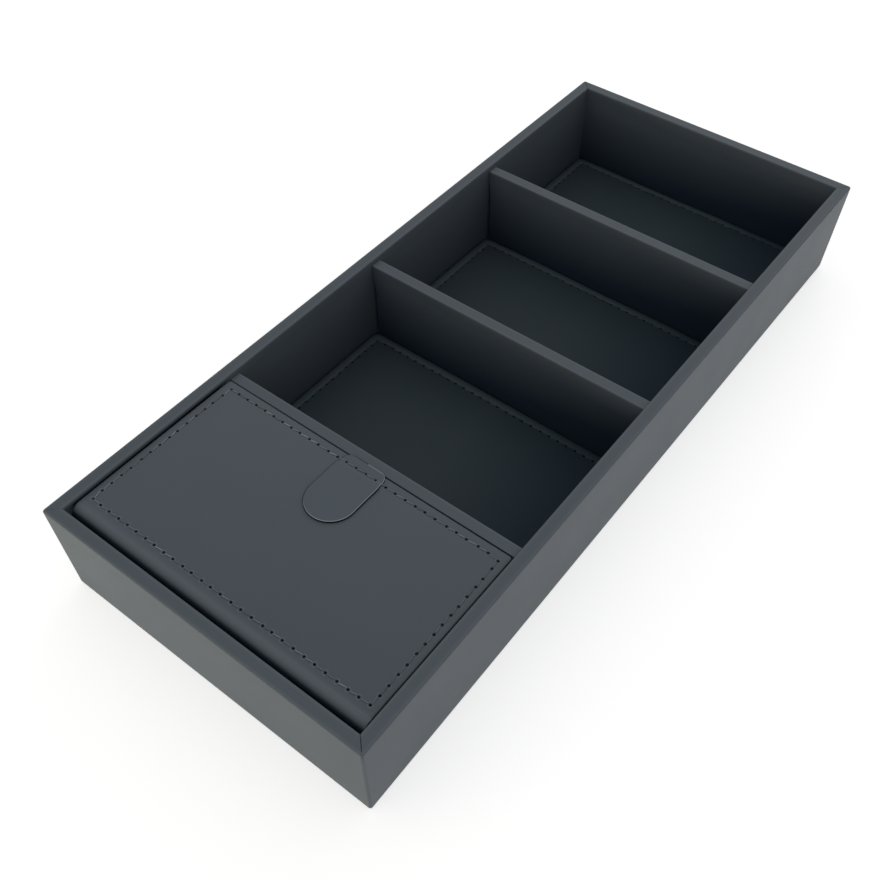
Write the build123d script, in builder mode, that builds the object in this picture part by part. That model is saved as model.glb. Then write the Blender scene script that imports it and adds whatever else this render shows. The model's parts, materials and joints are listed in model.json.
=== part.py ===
from build123d import *
from math import pi
import os

# A leather-covered desk tray: four compartments in a row, the front one under a hinged lid.
# Millimetres. X runs across the tray, Y along it with the lid at -Y, Z up.
# The origin is the middle of the face that the tray rests on.

# Tray
tray_length = 400.0
tray_width = 168.0
tray_height = 53.0
divider_count = 3
divider_drop = 2.6          # divider tops stand this far below the rim

# Sheets and boards
board = 5.0                 # wall, divider and base boards
leather = 0.5               # covering leather
thread = 0.6                # sewing thread, across
thread_rise = 0.25          # how far a stitch stands out of the leather
stitch_pitch = 5.2
stitch_hole = 1.2           # bare length at each needle hole

# Edges
corner_radius = 1.2         # upright outer corners
rim_radius = 1.0            # along the rim and the divider tops
foot_radius = 0.9           # along the outer bottom edge
mitre_slit = 0.2            # cut in the rim leather at each corner

# Underside
sole = 0.4                  # flocked sheet that the tray stands on
sole_inset = 3.0
turn_under = 12.0           # leather turned under the base board
sole_corner = 4.0
floor_lining = 0.4          # paper on the base board, inside

# Divider ends
divider_relief = 1.4        # ends cut short below their top
relief_start = 6.0          # depth at which the cut starts
relief_slope = 10.0         # height over which it reaches its full width

# Floor mats
mat_side_gap = 1.0
mat_end_gap = 1.3
mat_corner = 4.0
mat_backing = 0.4
mat_padding = 1.1
mat_edge_radius = 0.7
mat_seam_inset = 3.8

# Lid
lid_rise = 0.4              # lid leather above the divider tops
lid_side_gap = 0.8
lid_back_gap = 0.5
lid_board_thick = 2.5
lid_padding_thick = 0.8
lid_turn = 8.0              # leather turned under the lid board
lid_lining_thick = 0.4
lid_lining_inset = 1.5
lid_corner = 1.2
lid_edge_radius = 0.9
lid_seam_side = 3.3         # seam to the lid's side edges
lid_seam_back = 4.0         # seam to the lid's back edge
lid_seam_front = 4.5        # seam to where the leather starts to roll down

# Leather hinge
roll_radius = 6.5           # outside of the leather as it rolls down to the front wall
flange_depth = 12.0         # leather glued to the wall below the roll
roll_end_gap = 0.2          # roll to the lid's side edges

# Ledges under the lid's sides
ledge_width = 4.0
ledge_height = 5.0
ledge_front_gap = 3.0
lid_seat_gap = 0.3

# Pull tab
tab_shift = 2.0             # right of the lid's middle
tab_width = 23.4
tab_reach = 30.2            # seam to the round end
tab_ply = 0.65
tab_lift = 0.3              # free part over the lid leather
tab_joint_gap = 0.1
tail_narrowing = 0.9        # tail narrower than the tab
tail_overhang = 1.2         # tail past the lid's back edge
tail_corner = 4.5
tab_bend_offset = 1.5       # fold line in front of the seam

# Levels
wall = board + 2 * leather
board_bottom = sole + leather
lining_bottom = board_bottom + board
floor = lining_bottom + floor_lining
mat_top = floor + mat_backing + mat_padding + leather
divider_top = tray_height - divider_drop
lid_top = divider_top + lid_rise
lid_padding_top = lid_top - leather
lid_board_top = lid_padding_top - lid_padding_thick
lid_turn_top = lid_board_top - lid_board_thick
lid_turn_bottom = lid_turn_top - leather
lid_bottom = lid_turn_bottom - lid_lining_thick
ledge_top = lid_bottom - lid_seat_gap

# Plan
inner_x = tray_width / 2 - wall
inner_y = tray_length / 2 - wall
bay_count = divider_count + 1
bay = (2 * inner_y - divider_count * wall) / bay_count
divider_ys = [(i + 1) * (bay + wall) - wall / 2 - inner_y for i in range(divider_count)]
bay_ys = [i * (bay + wall) + bay / 2 - inner_y for i in range(bay_count)]
lid_half = inner_x - lid_side_gap
lid_back = divider_ys[0] - wall / 2 - lid_back_gap
lid_front = roll_radius - inner_y
seam_half = lid_half - lid_seam_side
seam_back = lid_back - lid_seam_back
seam_front = lid_front + lid_seam_front
tab_fold_y = seam_back - tab_bend_offset
tab_thick = 2 * tab_ply
tab_bottom = lid_top + tab_lift
tab_middle = tab_bottom + tab_ply
tail_width = tab_width - tail_narrowing

# The lid turns about the axis that keeps the hinge leather's length the same shut and upright.
pivot_offset = roll_radius * (1 - pi / 4)
lid_pivot = (0, pivot_offset - inner_y, lid_top - pivot_offset)
tab_pivot = (tab_shift, tab_fold_y, tab_middle)
print("Lid axis at", lid_pivot, "and tab fold at", tab_pivot)


def export(piece, name):
    """Label a finished piece and write it under its name."""
    piece.part.label = name
    export_step(piece.part, f"parts/{name}.step")


os.makedirs("parts", exist_ok=True)

# Base board, between the wall boards
with BuildPart() as base_board:
    with BuildSketch(Plane.XY.offset(board_bottom)):
        Rectangle(2 * (inner_x + leather), 2 * (inner_y + leather))
    extrude(amount=board)
export(base_board, "base_board")

# Paper lining on the base board
with BuildPart() as base_lining:
    with BuildSketch(Plane.XY.offset(lining_bottom)):
        Rectangle(2 * inner_x, 2 * inner_y)
    extrude(amount=floor_lining)
export(base_lining, "base_lining")

# Sole: the sheet underneath, let in between the turned-under leather
with BuildPart() as base_sole:
    with BuildSketch():
        RectangleRounded(tray_width - 2 * sole_inset, tray_length - 2 * sole_inset, sole_corner)
    extrude(amount=sole)
    with BuildSketch(Plane.XY.offset(sole)):
        Rectangle(tray_width - 2 * turn_under, tray_length - 2 * turn_under)
    extrude(amount=leather)
export(base_sole, "base_sole")

# The four wall boards before they are mitred apart
with BuildPart() as wall_ring:
    with BuildSketch(Plane.XY.offset(board_bottom)):
        RectangleRounded(
            tray_width - 2 * leather, tray_length - 2 * leather, corner_radius - leather
        )
        Rectangle(2 * (inner_x + leather), 2 * (inner_y + leather), mode=Mode.SUBTRACT)
    extrude(amount=tray_height - leather - board_bottom)
    fillet(wall_ring.faces().sort_by(Axis.Z)[-1].edges(), rim_radius - leather)
    fillet(wall_ring.faces().sort_by(Axis.Z)[0].outer_wire().edges(), foot_radius - leather)

# Each wall runs between two mitre cuts, from the outer corners to well inside
half_w = tray_width / 2
half_l = tray_length / 2
reach = 2 * wall
mitres = {
    "front": [(-half_w, -half_l), (half_w, -half_l), (half_w - reach, reach - half_l),
              (reach - half_w, reach - half_l)],
    "right": [(half_w, -half_l), (half_w, half_l), (half_w - reach, half_l - reach),
              (half_w - reach, reach - half_l)],
    "back": [(half_w, half_l), (-half_w, half_l), (reach - half_w, half_l - reach),
             (half_w - reach, half_l - reach)],
    "left": [(-half_w, half_l), (-half_w, -half_l), (reach - half_w, reach - half_l),
             (reach - half_w, half_l - reach)],
}
wall_boards = []
for side, corners in mitres.items():
    with BuildPart() as wall_board:
        add(wall_ring.part)
        with BuildSketch(Plane.XY.offset(board_bottom)):
            with BuildLine():
                Polyline(*corners, close=True)
            make_face()
        extrude(amount=tray_height, mode=Mode.INTERSECT)
    export(wall_board, f"{side}_wall_board")
    wall_boards.append(wall_board.part)

# Wall cover: one leather, round the outside, over the rim and down the inside
with BuildPart() as wall_cover:
    with BuildSketch(Plane.XY.offset(sole)):
        RectangleRounded(tray_width, tray_length, corner_radius)
        Rectangle(2 * inner_x, 2 * inner_y, mode=Mode.SUBTRACT)
    extrude(amount=tray_height - sole)
    fillet(wall_cover.faces().sort_by(Axis.Z)[-1].edges(), rim_radius)
    fillet(wall_cover.faces().sort_by(Axis.Z)[0].outer_wire().edges(), foot_radius)
    with BuildSketch(Plane.XY.offset(sole)):
        Rectangle(tray_width - wall, tray_length - wall)
        Rectangle(tray_width - 2 * turn_under, tray_length - 2 * turn_under, mode=Mode.SUBTRACT)
    extrude(amount=leather)
    add(wall_boards, mode=Mode.SUBTRACT)
    add(base_board.part, mode=Mode.SUBTRACT)
    with BuildSketch(Plane.XY.offset(tray_height - leather)):
        for x_side, y_side in ((1, 1), (-1, 1), (-1, -1), (1, -1)):
            with BuildLine():
                Polyline(
                    (x_side * (inner_x - mitre_slit), y_side * inner_y),
                    (x_side * (half_w - rim_radius - mitre_slit), y_side * (half_l - rim_radius)),
                    (x_side * (half_w - rim_radius), y_side * (half_l - rim_radius - mitre_slit)),
                    (x_side * inner_x, y_side * (inner_y - mitre_slit)),
                    close=True,
                )
            make_face()
    extrude(amount=leather, mode=Mode.SUBTRACT)
export(wall_cover, "wall_cover")


def divider_points(margin):
    """Corners of a divider's face: cut short at both ends below the top, inset by a margin."""
    half = inner_x - margin
    top = divider_top - margin
    upper = divider_top - relief_start
    lower = upper - relief_slope
    right = [(half, top), (half, upper), (half - divider_relief, lower),
             (half - divider_relief, floor)]
    return right + [(-x, z) for x, z in reversed(right)]


# Dividers: a board in a leather that wraps its faces, top and ends
for number, y in enumerate(divider_ys, start=1):
    with BuildPart() as divider_board:
        with BuildSketch(Plane.XZ.offset(-y)):
            with BuildLine():
                Polyline(*divider_points(leather), close=True)
            make_face()
        extrude(amount=board / 2, both=True)
        fillet(
            divider_board.faces().sort_by(Axis.Z)[-1].edges().filter_by(Axis.X),
            rim_radius - leather,
        )
    export(divider_board, f"divider_{number}_board")
    with BuildPart() as divider_cover:
        with BuildSketch(Plane.XZ.offset(-y)):
            with BuildLine():
                Polyline(*divider_points(0), close=True)
            make_face()
        extrude(amount=wall / 2, both=True)
        fillet(
            divider_cover.faces().sort_by(Axis.Z)[-1].edges().filter_by(Axis.X), rim_radius
        )
        add(divider_board.part, mode=Mode.SUBTRACT)
    export(divider_cover, f"divider_{number}_cover")


def seam(length_x, length_y):
    """Stitches round a rectangle: a whole number of equal stitches on each side."""
    count_x = round(length_x / stitch_pitch)
    count_y = round(length_y / stitch_pitch)
    step_x = length_x / count_x
    step_y = length_y / count_y
    with GridLocations(step_x, length_y, count_x, 2):
        SlotOverall(step_x - stitch_hole, thread)
    with GridLocations(length_x, step_y, 2, count_y):
        SlotOverall(step_y - stitch_hole, thread, rotation=90)


# Floor mats: padding between a backing and a sewn leather top
mat_width = 2 * (inner_x - mat_side_gap)
mat_length = bay - 2 * mat_end_gap
for number, y in enumerate(bay_ys, start=1):
    with BuildPart() as mat_back:
        with BuildSketch(Plane((0, y, floor))):
            RectangleRounded(mat_width, mat_length, mat_corner)
        extrude(amount=mat_backing)
    export(mat_back, f"floor_mat_{number}_backing")
    with BuildPart() as mat_pad:
        with BuildSketch(Plane((0, y, floor + mat_backing))):
            RectangleRounded(
                mat_width - 2 * leather, mat_length - 2 * leather, mat_corner - leather
            )
        extrude(amount=mat_padding)
    export(mat_pad, f"floor_mat_{number}_padding")
    with BuildPart() as mat_leather:
        with BuildSketch(Plane((0, y, floor + mat_backing))):
            RectangleRounded(mat_width, mat_length, mat_corner)
        extrude(amount=mat_padding + leather)
        fillet(mat_leather.faces().sort_by(Axis.Z)[-1].edges(), mat_edge_radius)
        add(mat_pad.part, mode=Mode.SUBTRACT)
    export(mat_leather, f"floor_mat_{number}_leather")
    with BuildPart() as mat_stitching:
        with BuildSketch(Plane((0, y, mat_top))):
            seam(mat_width - 2 * mat_seam_inset, mat_length - 2 * mat_seam_inset)
        extrude(amount=thread_rise)
    export(mat_stitching, f"floor_mat_{number}_stitching")

# Ledges that carry the lid's sides: a batten in leather on each side wall
ledge_start = lid_front + ledge_front_gap
ledge_end = divider_ys[0] - wall / 2
for side, sign in (("left", -1), ("right", 1)):
    with BuildPart() as ledge_batten:
        with BuildSketch(Plane.XZ.offset(-ledge_start - leather)):
            with Locations((sign * inner_x, ledge_top - ledge_height / 2)):
                Rectangle(
                    ledge_width - leather, ledge_height - 2 * leather,
                    align=((Align.MIN if sign < 0 else Align.MAX), Align.CENTER),
                )
        extrude(amount=-(ledge_end - ledge_start - leather))
    export(ledge_batten, f"{side}_lid_ledge_batten")
    with BuildPart() as ledge_cover:
        with BuildSketch(Plane.XZ.offset(-ledge_start)):
            with Locations((sign * inner_x, ledge_top - ledge_height / 2)):
                Rectangle(
                    ledge_width, ledge_height,
                    align=((Align.MIN if sign < 0 else Align.MAX), Align.CENTER),
                )
        extrude(amount=-(ledge_end - ledge_start))
        add(ledge_batten.part, mode=Mode.SUBTRACT)
    export(ledge_cover, f"{side}_lid_ledge_cover")

# Hinge flange: the end of the hinge leather, glued down the front wall
with BuildPart() as lid_hinge_flange:
    with BuildSketch(Plane.XY.offset(lid_top - roll_radius)):
        with Locations((0, leather / 2 - inner_y)):
            Rectangle(2 * (lid_half - roll_end_gap), leather)
    extrude(amount=-flange_depth)
export(lid_hinge_flange, "lid_hinge_flange")

# Hinge roll: a quarter turn of leather from the flange up to the lid
with BuildPart() as lid_hinge_roll:
    with BuildSketch(Plane.YZ.offset(roll_end_gap - lid_half)):
        with BuildLine():
            outside = CenterArc((lid_front, lid_top - roll_radius), roll_radius, 90, 90)
            inside = CenterArc((lid_front, lid_top - roll_radius), roll_radius - leather, 90, 90)
            Line(outside @ 0, inside @ 0)
            Line(outside @ 1, inside @ 1)
        make_face()
    extrude(amount=2 * (lid_half - roll_end_gap))
export(lid_hinge_roll, "lid_hinge_roll")

# Lid board and padding, inside the lid leather
lid_length = lid_back - lid_front
core_length = lid_length - leather
with BuildPart() as lid_board:
    with BuildSketch(Plane((0, lid_front + core_length / 2, lid_turn_top))):
        Rectangle(2 * (lid_half - leather), core_length)
    extrude(amount=lid_board_thick)
export(lid_board, "lid_board")
with BuildPart() as lid_padding:
    with BuildSketch(Plane((0, lid_front + core_length / 2, lid_board_top))):
        Rectangle(2 * (lid_half - leather), core_length)
    extrude(amount=lid_padding_thick)
    fillet(
        lid_padding.faces().sort_by(Axis.Z)[-1].edges().filter_by(Axis.Y)
        + lid_padding.faces().sort_by(Axis.Z)[-1].edges().sort_by(Axis.Y)[-1:],
        lid_edge_radius - leather,
    )
export(lid_padding, "lid_padding")

# Lid leather: over the top and three edges, and turned under them
with BuildPart() as lid_leather:
    with BuildSketch(Plane((0, lid_front + lid_length / 2, lid_turn_bottom))):
        Rectangle(2 * lid_half, lid_length)
    extrude(amount=lid_top - lid_turn_bottom)
    fillet(lid_leather.edges().filter_by(Axis.Z).group_by(Axis.Y)[-1], lid_corner)
    fillet(
        lid_leather.faces().sort_by(Axis.Z)[-1].edges() - lid_leather.edges().group_by(Axis.Y)[0],
        lid_edge_radius,
    )
    add(lid_board.part, mode=Mode.SUBTRACT)
    add(lid_padding.part, mode=Mode.SUBTRACT)
    with BuildSketch(Plane((0, lid_front + (lid_length - lid_turn) / 2, lid_turn_bottom))):
        Rectangle(2 * (lid_half - lid_turn), lid_length - lid_turn)
    extrude(amount=leather, mode=Mode.SUBTRACT)
export(lid_leather, "lid_leather")

# Lid lining: the sheet under the lid, let in between the turned leather
with BuildPart() as lid_lining:
    with BuildSketch(Plane((0, lid_front + (lid_length - lid_lining_inset) / 2, lid_bottom))):
        Rectangle(2 * (lid_half - lid_lining_inset), lid_length - lid_lining_inset)
    extrude(amount=lid_lining_thick)
    with BuildSketch(Plane((0, lid_front + (lid_length - lid_turn) / 2, lid_turn_bottom))):
        Rectangle(2 * (lid_half - lid_turn), lid_length - lid_turn)
    extrude(amount=leather)
export(lid_lining, "lid_lining")


# Tab tail: the upper ply of the pull tab runs on past the fold and is sewn to the lid
tail_front = tab_fold_y + tab_ply + tab_joint_gap
tail_length = lid_back + tail_overhang - tail_front
with BuildPart() as pull_tab_tail:
    with BuildSketch(Plane((tab_shift, tail_front + tail_length / 2, lid_top))) as tail_outline:
        Rectangle(tail_width, tail_length)
        fillet(tail_outline.vertices().group_by(Axis.Y)[-1], tail_corner)
    extrude(amount=tab_ply)
export(pull_tab_tail, "pull_tab_tail")

# Lid seam: round the lid, up to the tab tail on both sides
seam_plane = Plane((0, (seam_back + seam_front) / 2, lid_top))
with BuildPart() as lid_stitching:
    with BuildSketch(seam_plane):
        seam(2 * seam_half, seam_back - seam_front)
    extrude(amount=thread_rise)
    add(pull_tab_tail.part, mode=Mode.SUBTRACT)
export(lid_stitching, "lid_stitching")

# The same seam where it crosses the tail and holds it
with BuildPart() as pull_tab_stitching:
    with BuildSketch(seam_plane.offset(tab_ply)):
        seam(2 * seam_half, seam_back - seam_front)
        with Locations((tab_shift, (seam_back - seam_front) / 2)):
            Rectangle(tail_width - 2 * thread, 2 * thread, mode=Mode.INTERSECT)
    extrude(amount=thread_rise)
export(pull_tab_stitching, "pull_tab_stitching")

# Free part of the tab: two plies, rounded at the fold so that they turn beside the tail
tab_end = seam_back - tab_reach
with BuildPart() as pull_tab:
    with BuildSketch(Plane.YZ.offset(tab_shift - tab_width / 2)):
        with BuildLine():
            CenterArc((tab_fold_y, tab_middle), tab_ply, -90, 180)
            Line((tab_fold_y, tab_middle + tab_ply), (tab_end, tab_middle + tab_ply))
            Line((tab_end, tab_middle + tab_ply), (tab_end, tab_bottom))
            Line((tab_end, tab_bottom), (tab_fold_y, tab_bottom))
        make_face()
    extrude(amount=tab_width)
    with BuildSketch(Plane.XY.offset(tab_bottom)):
        with Locations((tab_shift, tab_end + tab_width / 2)):
            Circle(tab_width / 2)
            Rectangle(tab_width, tray_length, align=(Align.CENTER, Align.MIN))
    extrude(amount=tab_thick, mode=Mode.INTERSECT)
with BuildPart() as pull_tab_leather:
    add(pull_tab.part)
    split(bisect_by=Plane.XY.offset(tab_middle), keep=Keep.TOP)
export(pull_tab_leather, "pull_tab_leather")
with BuildPart() as pull_tab_backing:
    add(pull_tab.part)
    split(bisect_by=Plane.XY.offset(tab_middle), keep=Keep.BOTTOM)
export(pull_tab_backing, "pull_tab_backing")
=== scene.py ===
import json
import math

import bpy
import numpy as np
from bpy.props import FloatProperty, FloatVectorProperty, IntProperty, PointerProperty
from mathutils import Matrix, Vector


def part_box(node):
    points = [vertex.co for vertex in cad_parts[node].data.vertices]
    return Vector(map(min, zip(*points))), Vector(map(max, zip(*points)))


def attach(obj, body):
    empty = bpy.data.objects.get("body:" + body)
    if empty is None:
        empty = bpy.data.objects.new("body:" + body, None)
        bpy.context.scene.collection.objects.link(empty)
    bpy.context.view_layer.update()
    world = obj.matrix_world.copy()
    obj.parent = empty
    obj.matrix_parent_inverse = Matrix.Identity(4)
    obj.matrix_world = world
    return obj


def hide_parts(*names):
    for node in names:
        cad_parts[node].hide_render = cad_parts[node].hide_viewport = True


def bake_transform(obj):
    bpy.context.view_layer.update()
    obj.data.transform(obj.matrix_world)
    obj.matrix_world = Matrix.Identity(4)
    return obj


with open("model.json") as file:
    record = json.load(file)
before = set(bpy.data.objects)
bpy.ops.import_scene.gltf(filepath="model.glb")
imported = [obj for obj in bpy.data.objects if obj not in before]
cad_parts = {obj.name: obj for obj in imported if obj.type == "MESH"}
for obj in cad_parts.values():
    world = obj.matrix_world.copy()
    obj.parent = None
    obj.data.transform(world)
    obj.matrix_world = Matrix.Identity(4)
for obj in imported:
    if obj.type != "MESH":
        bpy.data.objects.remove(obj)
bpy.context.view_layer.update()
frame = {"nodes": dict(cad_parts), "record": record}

bl_info = {
    "name": "Sewn leather compartment tray",
    "version": (1, 0, 0),
    "blender": (4, 5, 0),
    "location": "3D View > Sidebar > Leather Tray",
    "description": "Dresses the tray in its leathers, padded mats and lid, hinge, pull tab and seams",
    "category": "Object",
}

# Sizes below are in millimetres until mesh_piece() writes them in metres.
MM = 0.001
BAYS = (1, 2, 3, 4)
DIVIDERS = (1, 2, 3)


def box_mm(node):
    """Lowest and highest corner of a CAD node, in millimetres."""
    low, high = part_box(node)
    return np.array(low) / MM, np.array(high) / MM


# Settings


def length_setting(label, about, value, low=0.0, high=0.02):
    """A length that the user may change, in metres."""
    return FloatProperty(
        name=label, description=about, default=value, min=low, max=high,
        subtype="DISTANCE", unit="LENGTH", precision=5,
    )


def share_setting(label, about, value, high=1.0):
    """A plain number that the user may change."""
    return FloatProperty(name=label, description=about, default=value, min=0.0, max=high)


def colour_setting(label, about, value):
    """A linear colour that the user may change."""
    return FloatVectorProperty(
        name=label, description=about, default=value, min=0.0, max=1.0, size=3, subtype="COLOR"
    )


class TrayLeatherSettings(bpy.types.PropertyGroup):
    """Colours and surface of the leathers, sheets and boards."""

    tray_colour: colour_setting("Tray leather", "Leather of the walls and dividers",
                                (0.105, 0.128, 0.147))
    lid_colour: colour_setting("Lid leather", "Leather of the lid and its hinge",
                               (0.105, 0.127, 0.146))
    tab_colour: colour_setting("Tab leather", "Leather of the pull tab", (0.108, 0.131, 0.151))
    mat_colour: colour_setting("Mat leather", "Leather of the floor mats", (0.034, 0.050, 0.059))
    thread_colour: colour_setting("Thread", "Sewing thread of the lid", (0.52, 0.59, 0.66))
    mat_thread_colour: colour_setting("Mat thread", "Sewing thread of the mats",
                                      (0.13, 0.155, 0.17))
    roughness: share_setting("Roughness", "Roughness of the leathers", 0.52)
    grain: length_setting("Grain", "Size of one pebble of the grain", 0.00042, low=0.0001,
                          high=0.005)
    grain_relief: length_setting("Grain relief", "Height of the grain's pebbles", 0.000018,
                                 high=0.001)


class TraySewingSettings(bpy.types.PropertyGroup):
    """How the padded pieces are sewn."""

    lid_crown: length_setting("Lid crown", "Rise of the padded lid inside its seam", 0.00016)
    mat_crown: length_setting("Mat crown", "Rise of a padded mat inside its seam", 0.00032)
    channel: length_setting("Seam channel", "Depth to which the thread pulls the leather", 0.00010)
    channel_width: length_setting("Channel width", "Half width of that channel", 0.0008,
                                  low=0.0002)
    hole: length_setting("Needle hole", "Radius of a needle hole", 0.00070, low=0.0001)
    hole_depth: length_setting("Hole depth", "Depth of a needle hole", 0.0016)
    thread: length_setting("Thread", "Thickness of the sewing thread", 0.00042, low=0.0001)
    slant: length_setting("Stitch slant", "Sideways lean of one stitch over its length", 0.0007)
    stray: length_setting("Stray", "How far a needle hole strays along its seam", 0.00025)
    lift: length_setting("Mat lift", "How far a mat's edge stands off the floor in places",
                         0.00035)
    seed: IntProperty(name="Seed", description="Start of the small unevenness of the sewing",
                      default=7, min=0)


class TrayStageSettings(bpy.types.PropertyGroup):
    """Floor, light and camera."""

    sky: share_setting("Sky", "Light from just above the horizon", 0.19, high=10.0)
    zenith: share_setting("Zenith", "Light from straight above", 0.66, high=10.0)
    floor_white: share_setting("Floor white", "White that the floor shows the camera", 0.60,
                               high=2.0)
    front_lamp: share_setting("Front lamp", "Low soft lamp in front, in watts", 1.55, high=1000.0)
    back_lamp: share_setting("Back lamp", "Soft lamp behind, in watts", 2.8, high=1000.0)
    side_lamp: share_setting("Side lamp", "Low soft lamp on the right, in watts", 1.4,
                             high=1000.0)


# Meshes

# A rounded edge, as shares of its radius: how far across and how far down from its top it lies
TURN = np.linspace(0, math.pi / 2, 7)
ROUND_ACROSS = 1 - np.cos(TURN)
ROUND_DOWN = 1 - np.sin(TURN)


def ramp(value, start, end):
    """Share of the way from start to end that a value has gone, from 0 to 1."""
    return np.clip((value - start) / (end - start), 0, 1)


def smooth(share):
    """A share from 0 to 1 that starts and ends gently."""
    return share * share * (3 - 2 * share)


def bell(distance, width):
    """One at distance nought, and less away from it: exp(-distance squared), in widths."""
    return np.exp(-(distance / width) ** 2)


def grid_faces(rows, columns, wrap_rows=False):
    """Quads of a grid whose columns close on themselves: corner (row, column) goes to the next
    column, then to the next row, so a ring that climbs counter-clockwise faces outwards."""
    row = np.arange(rows if wrap_rows else rows - 1)[:, None]
    column = np.arange(columns)[None, :]
    beside, above = (column + 1) % columns, (row + 1) % rows
    quads = [row * columns + column, row * columns + beside,
             above * columns + beside, above * columns + column]
    return np.stack(quads, axis=-1).reshape(-1, 4)


def strip_faces(rows, columns, turned=False):
    """Faces of a closed strip: a grid whose columns run along one side and back along the
    other, and at each end a row of quads between the two sides. Turned ones face the other
    way."""
    pair = np.arange(columns // 2 - 1)
    cap = np.stack([pair, pair + 1, columns - 2 - pair, columns - 1 - pair], axis=-1)
    faces = [grid_faces(rows, columns), cap[:, ::-1], cap + (rows - 1) * columns]
    return [quads[:, ::-1] for quads in faces] if turned else faces


def mesh_piece(name, points, faces, material, attributes=None, sharp=38.0):
    """An object from points in millimetres and arrays of faces, one array for each number of
    corners. Faces are smooth, with sharp edges where they meet at more than the given angle.
    An attribute has one value, or three, for every point."""
    mesh = bpy.data.meshes.new(name)
    points = points.reshape(-1, 3)
    corners = np.concatenate([f.ravel() for f in faces]).astype(np.int32)
    sizes = np.concatenate([np.full(len(f), f.shape[1]) for f in faces])
    starts = np.concatenate([[0], np.cumsum(sizes)[:-1]]).astype(np.int32)
    mesh.vertices.add(len(points))
    mesh.vertices.foreach_set("co", (points * MM).astype(np.float32).ravel())
    mesh.loops.add(len(corners))
    mesh.loops.foreach_set("vertex_index", corners)
    mesh.polygons.add(len(sizes))
    mesh.polygons.foreach_set("loop_start", starts)
    mesh.update(calc_edges=True)
    if mesh.validate():
        raise RuntimeError(f"{name} has faces that aren't valid")
    mesh.polygons.foreach_set("use_smooth", np.ones(len(sizes), bool))
    mesh.set_sharp_from_angle(angle=math.radians(sharp))
    for label, values in (attributes or {}).items():
        single = values.size == len(points)
        data = mesh.attributes.new(label, "FLOAT" if single else "FLOAT_VECTOR", "POINT").data
        data.foreach_set("value" if single else "vector", values.astype(np.float32).ravel())
    mesh.materials.append(material)
    piece = bpy.data.objects.new(name, mesh)
    bpy.context.scene.collection.objects.link(piece)
    return piece


def ripple(x, y, seed, longest, shortest, waves=6):
    """Slow unevenness, mostly between -1 and 1: the sum of a few plane waves, each with its own
    direction, phase and a length between the two given ones."""
    draw = np.random.default_rng(seed)
    total = np.zeros(np.broadcast(x, y).shape)
    for _ in range(waves):
        way, phase = draw.uniform(0, 2 * math.pi, 2)
        length = draw.uniform(shortest, longest)
        total += np.sin((x * math.cos(way) + y * math.sin(way)) * 2 * math.pi / length + phase)
    return total / math.sqrt(waves) / 1.5


def ring_columns(side_x, side_y, arc):
    """Columns of a closed ring, counter-clockwise from the left end of its front side. Each one
    is a corner's centre, as shares of the ring's half sizes, and a direction from it: along a
    side the share runs and the direction stays, round a corner the direction turns."""
    turn = np.linspace(0, math.pi / 2, arc, endpoint=False)
    one_x, one_y, one = np.ones(len(side_x)), np.ones(len(side_y)), np.ones(arc)
    share_x = np.concatenate([side_x, one, one_y, one, -side_x, -one, -one_y, -one])
    share_y = np.concatenate([-one_x, -one, side_y, one, one_x, one, -side_y, -one])
    angle = [0 * one_x, turn, 0 * one_y, turn] * 2
    quarter = np.repeat([-1, -1, 0, 0, 1, 1, 2, 2], [len(a) for a in angle]) * math.pi / 2
    return share_x, share_y, np.concatenate(angle) + quarter


def ring_points(columns, half_x, front, back, radius):
    """Plan of nested rounded rectangles, one row for each entry of half_x, front and back: the
    corner's centre plus the radius along the column's direction."""
    share_x, share_y, angle = columns
    half_x, front, back = (np.asarray(v, float)[:, None] for v in (half_x, front, back))
    x = share_x * (half_x - radius) + radius * np.cos(angle)
    half_y = (back - front) / 2
    y = (front + back) / 2 + share_y * (half_y - radius) + radius * np.sin(angle)
    return x, y


def dense_ends(run, near, step):
    """Shares from -1 up to but not at 1 along a straight run, close together at both ends."""
    inner = run - near[-1]
    middle = np.linspace(-inner, inner, max(2, round(2 * inner / step)))
    left = -run + np.array(near[:-1])
    return np.concatenate([left, middle, -left[:0:-1]]) / run


# Padded and sewn panels

PITCH = 5.2           # from one needle hole to the next
PER_STITCH = 20       # columns from one needle hole to the next
LEAD = 12             # columns from a corner to the first needle hole
ARC = 8               # columns round a corner
SEAM_CORNER = 1.2     # radius of a seam's corners
HOLE_DRIFT = 0.06     # how far a needle hole drifts off its seam's line
PULL_REACH = 1.3      # how far round a needle hole the seam's channel is deeper
LIP_WIDTH = 0.22      # half width of the low lip round a needle hole
LIP_HEIGHT = 0.05
CROWN_REACH = 7.0     # distance inside the seam over which the crown rises
UNEVEN = 0.05         # how far the top rises and falls in slow waves
SLIP = 0.16           # how far a mat's edge wanders in and out
LIFT_REACH = 11.0     # distance inside a mat's edge over which it comes down to the floor
SLIP_REACH = 5.0      # distance inside its edge over which the wandering fades
ROLL_START = 3.4      # distance from the lid's front edge at which it begins to roll down
FRONT_ROLL = 0.3      # how far it has dipped at that edge
COARSE = 8            # fine columns to one coarse column inside the seam

# Distances of a panel's rows from its seam: close together beside it, and wider inside it
BESIDE_SEAM = np.array([0.09, 0.18, 0.28, 0.4, 0.54, 0.7, 0.9, 1.2, 1.6])
SEAM_ROWS = np.concatenate([-BESIDE_SEAM[::-1], [0.0], BESIDE_SEAM, [2.2, 3.0]])
INNER_ROWS = np.array([5.0, 8.0, 12.0, 17.0, 23.0, 29.0, 35.0])

# The lid is a little out of square: shift in x and y of its seam and of its edge, at the front
# left, front right, back left and back right corner
LID_SEAM_SKEW = np.array([[-0.75, 0.0], [-0.35, -0.45], [0.45, 0.9], [-0.4, 0.1]])
LID_EDGE_SKEW = np.array([[-0.68, 0.0], [-0.18, -0.22], [-0.35, 0.4], [-0.2, 0.1]])


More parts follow.
